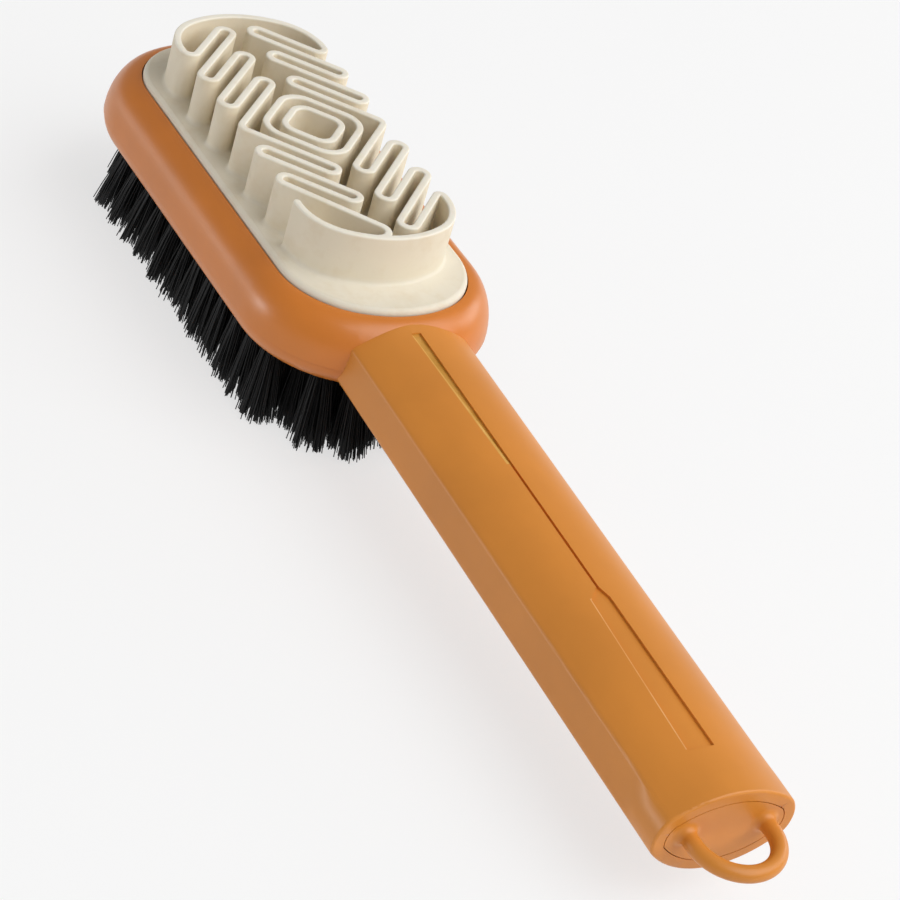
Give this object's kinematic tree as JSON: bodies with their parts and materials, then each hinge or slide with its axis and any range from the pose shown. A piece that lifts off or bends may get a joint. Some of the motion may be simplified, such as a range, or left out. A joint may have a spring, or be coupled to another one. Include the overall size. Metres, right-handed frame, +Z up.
{
  "type": "suede_brush",
  "caption": "Suede brush: oval plastic head with a folded rubber crepe pad on top, dark bristle tufts below and a straight handle with a hanging loop.",
  "frame": {"origin": "centre of the head on the plane of the bristle tips, on which the brush rests", "axes": "+X from the head along the handle to the loop, +Z up from the bristle tips to the crepe"},
  "size_m": [0.2155, 0.0462, 0.0375],
  "materials": {
    "head_plastic": "satin",
    "handle_plastic": "satin",
    "crepe_rubber": "matte",
    "bristle": "fibre",
    "steel": "bright"
  },
  "bodies": {
    "root": {"head_top_shell": "head_plastic", "tuft_board": "head_plastic", "crepe_pad": "crepe_rubber", "handle_tube": "handle_plastic", "end_cap": "handle_plastic", "tuft_anchors": "steel", "head_screws": "steel", "bristle_row_1": "bristle", "bristle_row_2": "bristle", "bristle_row_3": "bristle", "bristle_row_4": "bristle", "bristle_row_5": "bristle", "bristle_row_6": "bristle", "bristle_row_7": "bristle"}
  },
  "joints": []
}
